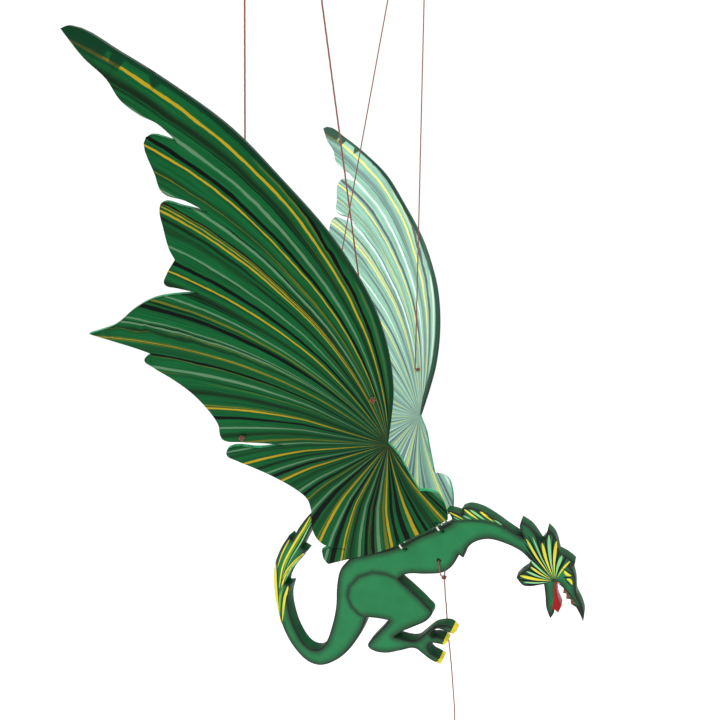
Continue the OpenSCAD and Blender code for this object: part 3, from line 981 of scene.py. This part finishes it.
def rope(name, path, diameter, tone, body, pitch=4.0, lobes=3, closed=False, sides=12, caps=True):
    """A twisted thread along a path in metres, with the twist's lobes in its surface."""
    path = [Vector(p) for p in path]
    count = len(path)
    points = []
    faces = []
    travelled = 0.0
    reference = None
    for k in range(count):
        before = path[k - 1] if (k > 0 or closed) else path[k]
        after = path[(k + 1) % count] if (k < count - 1 or closed) else path[k]
        forward = (after - before).normalized()
        if reference is None:
            reference = forward.orthogonal().normalized()
        reference = (reference - forward * reference.dot(forward)).normalized()
        other = forward.cross(reference)
        if k:
            travelled += (path[k] - path[k - 1]).length
        twist = 2 * math.pi * travelled / (pitch * diameter)
        for j in range(sides):
            turn = 2 * math.pi * j / sides
            radius = diameter / 2 * (0.93 + 0.09 * math.cos(lobes * (turn - twist)))
            points.append(path[k] + radius * (math.cos(turn) * reference + math.sin(turn) * other))
    rings = count if closed else count - 1
    for k in range(rings):
        for j in range(sides):
            a = k * sides + j
            b = k * sides + (j + 1) % sides
            c = ((k + 1) % count) * sides + (j + 1) % sides
            d = ((k + 1) % count) * sides + j
            faces.append((a, b, c, d))
    if caps and not closed:
        faces.append(tuple(range(sides))[::-1])
        faces.append(tuple(range((count - 1) * sides, count * sides)))
    return finish_mesh(name, points, faces, [tone], body, sharp=80)


def straight(start, end, step):
    start = Vector(start)
    end = Vector(end)
    parts = max(2, int(round((end - start).length / step)))
    return [start + (end - start) * k / parts for k in range(parts + 1)]


def knot_path(centre, axis, radius, height, count=60):
    """Overhand knot: a trefoil about an axis."""
    axis = Vector(axis).normalized()
    side = axis.orthogonal().normalized()
    other = axis.cross(side)
    out = []
    for k in range(count):
        t = 2 * math.pi * k / count
        x = (math.sin(t) + 2 * math.sin(2 * t)) / 3
        y = (math.cos(t) - 2 * math.cos(2 * t)) / 3
        z = -math.sin(3 * t)
        out.append(Vector(centre) + radius * (x * side + y * other) + height * z * axis)
    return out


def knot(name, centre, axis, body, tone=STRING, radius=0.0017, height=0.0011, diameter=0.0012):
    path = knot_path(centre, axis, radius, height)
    return rope(name, path, diameter, tone, body, closed=True, sides=10)


HOLES = {"front": (29, 121), "rear": (-70, 148)}
BAR_X = {"front": 0.014, "rear": -0.014}
STRING_D = 0.0011
# Heights above the middle of a wing's board where a string ends and where its tie ends
STRING_END = 7.1
TIE_TOP = 7.0
for side, side_name in ((-1, "right"), (1, "left")):
    origin, outward, face = wing_frame(side)
    for end_name, (along, out) in HOLES.items():
        hole = origin + MM * (along * ALONG + out * outward)
        top = Vector((BAR_X[end_name], side * 0.130, -0.022))
        bottom = hole + MM * STRING_END * face
        run = (bottom - top).normalized()
        start = top + run * 0.0006
        line = straight(start, bottom, 0.0012)
        node = f"{side_name}_{end_name}_string"
        string = rope(node + "_thread", line, STRING_D, STRING, f"{side_name}_{end_name}_line")
        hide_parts(node)
        tie_top = hole + MM * TIE_TOP * face
        tie_end = hole - MM * 3.0 * face
        tie = rope(
            f"{side_name}_{end_name}_tie", straight(tie_end, tie_top, 0.0008), STRING_D, STRING,
            f"{side_name}_wing",
        )
        knot(f"{side_name}_{end_name}_tie_knot", hole - MM * 3.9 * face, face, f"{side_name}_wing")
        knot(f"{side_name}_{end_name}_upper_knot", hole + MM * 3.5 * face, face, f"{side_name}_wing",
             radius=0.0011, height=0.0008, diameter=0.001)
        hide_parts(f"{side_name}_wing_ties")
        post = rope(
            f"{side_name}_{end_name}_bar_tie", straight(top, top + Vector((0, 0, 0.0102)), 0.0008), STRING_D,
            STRING, "hanger",
        )
        knot(f"{side_name}_{end_name}_bar_knot", top + Vector((0, 0, 0.0112)), (0, 0, 1), "hanger")
        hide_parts("bar_knots")

# Hinge cords: white loops about the hinge line
for side, side_name in ((-1, "right"), (1, "left")):
    for end_name, back in (("front", 0), ("rear", 35)):
        centre = dragon(0, 6 * side, 0) - MM * back * ALONG
        ring = []
        for k in range(72):
            turn = 2 * math.pi * k / 72
            swell = 5 + 0.12 * math.sin(3 * turn + side)
            ring.append(centre + MM * swell * (math.cos(turn) * Vector((0, 1, 0)) + math.sin(turn) * RISE))
        node = f"{side_name}_{end_name}_hinge_cord"
        loop = rope(node + "_loop", ring, 0.0014, WHITE_CORD, "dragon", pitch=3.2, closed=True)
        # The loops were painted over with the boards, and show white only between them
        middles = [loop.data.vertices[polygon.vertices[0]].co - centre for polygon in loop.data.polygons]
        loop.data.materials.append(LOOP_PAINT)
        hidden = [int(abs(offset.dot(RISE)) > 1.8 * MM) for offset in middles]
        loop.data.polygons.foreach_set("material_index", np.array(hidden, np.int32))
        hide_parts(node)

# Chest tie, pull cord, bead and its knot
TIE = [
    (2.9, 2.6, -43.6), (2.7, 4, -42.2), (2.2, 5.8, -40), (1.6, 7, -37), (1, 7.2, -33), (0.3, 6.9, -29.8),
    (0, 5.4, -28.2), (0, 2, -28), (0, -2, -28), (0, -5.4, -28.2), (0.3, -6.9, -29.8), (1, -7.2, -33),
    (1.6, -7, -37), (2.1, -5.6, -40), (2.5, -3, -42), (2.8, -0.4, -43.6),
]
PULL = [
    (3, 2.2, -47.6), (3, 4, -54), (3, 6, -62), (3.5, 7.4, -70), (4, 8, -78), (5, 8.2, -90), (6, 8.2, -100),
    (7.5, 8.2, -112), (9, 8.2, -126), (10.5, 8.2, -142), (12, 8.2, -160), (13, 8.2, -181),
]


def smooth_path(points, step):
    """A smooth path in metres through points in the dragon's own millimetres."""
    return [dragon(*point) for point in spaced_line(points, step)]


tie = rope("chest_tie_thread", smooth_path(TIE, 0.8), STRING_D, STRING, "dragon")
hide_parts("chest_tie")
knot("chest_tie_knot", dragon(3, 1.2, -44.7), (0.1, 0.3, 1), "dragon", radius=0.0016, height=0.0011)
pull_path = smooth_path(PULL, 1.2)
pull = rope("pull_cord_thread", pull_path, STRING_D, STRING, "pull")
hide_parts("pull_cord")


def lathe(name, profile, centre, materials, body, segments=64):
    """Turned shape from (radius, height) points in millimetres."""
    points = []
    faces = []
    count = len(profile)
    for k in range(segments):
        turn = 2 * math.pi * k / segments
        for radius, height in profile:
            offset = Vector((radius * math.cos(turn), radius * math.sin(turn), height))
            points.append(Vector(centre) + MM * offset)
    for k in range(segments):
        for j in range(count):
            a = k * count + j
            b = k * count + (j + 1) % count
            c = ((k + 1) % segments) * count + (j + 1) % count
            d = ((k + 1) % segments) * count + j
            faces.append((a, b, c, d))
    return finish_mesh(name, points, faces, materials, body, sharp=60)


bead_centre = dragon(13, 8.2, -189)
bead_profile = [(1.2, -7.6), (1.35, -8.3), (1.8, -8.75)]
bead_profile += [(9 * math.cos(math.radians(t)), 9 * math.sin(math.radians(t))) for t in range(-76, 78, 4)]
bead_profile += [(1.8, 8.75), (1.35, 8.3), (1.2, 7.6)]
bead = lathe("turned_bead", bead_profile, bead_centre, [BEAD_WOOD], "pull")
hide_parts("pull_bead")
bead_line = straight(dragon(13, 8.2, -181), dragon(13, 8.2, -199.4), 0.0008)
bead_string = rope("bead_string", bead_line, STRING_D, STRING, "pull")
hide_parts("bead_knot")
bead_knot = knot("bead_knot_thread", dragon(13, 8.2, -199.9), (0, 0, 1), "pull")

# ---------------------------------------------------------------- spreader bar and screw eye

bar_origin = Vector((0, 0, -0.0175))
bar_loops = face_loops("spreader_bar", bar_origin, X_AXIS, Vector((0, 1, 0)), -4.5)
bar_loops = [spaced(loop, 2.0) if k == 0 else loop for k, loop in enumerate(bar_loops)]
bar_grid = np.array([(x, y) for x in np.arange(-20, 21, 4.0) for y in np.arange(-142, 143, 5.0)])
bar_grid = bar_grid[inside_of(bar_grid, bar_loops)]
bar_grid = bar_grid[distance_to(bar_grid, bar_loops) > 2.4]


def choose_bar(middle):
    none = np.zeros(len(middle), int)
    return none, none, lambda walls: np.zeros(len(walls), int)


bar_extra = np.concatenate([rim_points(bar_loops[:1], (0.15, 0.5, 1.1, 1.8)), bar_grid])
bar = board(
    "wooden_spreader_bar", bar_loops, bar_extra, (), bar_origin, X_AXIS, Vector((0, 1, 0)), 9.0, 1.8,
    [BAR_WOOD], "hanger", choose_bar,
)[0]
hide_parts("spreader_bar")

eye_path = []
for k in range(73):
    turn = math.radians(-72 + 342 * k / 72)
    eye_path.append(Vector((0, MM * 5.5 * math.cos(turn), MM * 5.5 * math.sin(turn))))
eye_path += [Vector((0, 0, MM * -z)) for z in (6.4, 7.4, 8.6, 10, 11.4, 12.8)]
eye = rope("screw_eye_wire", eye_path, 0.003, STEEL, "hanger", lobes=0, sides=20)
thread_profile = []
for k in range(13):
    thread_profile += [(1.3, -12.6 - 0.5 * k), (1.02, -12.85 - 0.5 * k)]
shank_profile = [(0.05, -12.4)] + thread_profile + [(0.05, -19)]
lathe("screw_eye_shank", shank_profile, (0, 0, 0), [STEEL], "hanger", 32)
collar_profile = [(0.9, -13.0), (2.5, -13.0), (2.6, -12.6), (2.4, -12.1), (0.9, -12.0)]
lathe("screw_eye_collar", collar_profile, (0, 0, 0), [STEEL], "hanger", 40)
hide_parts("hanging_eye")

# ---------------------------------------------------------------- floor

FLOOR_Z = -1.3
FLOOR_HALF = 30
floor_corners = [(x * FLOOR_HALF, y * FLOOR_HALF, FLOOR_Z) for x, y in ((-1, -1), (1, -1), (1, 1), (-1, 1))]
floor_data = bpy.data.meshes.new("floor")
floor_data.from_pydata(floor_corners, [], [(0, 1, 2, 3)])
floor_data.materials.append(floor_material)
floor = bpy.data.objects.new("floor", floor_data)
SCENE.collection.objects.link(floor)
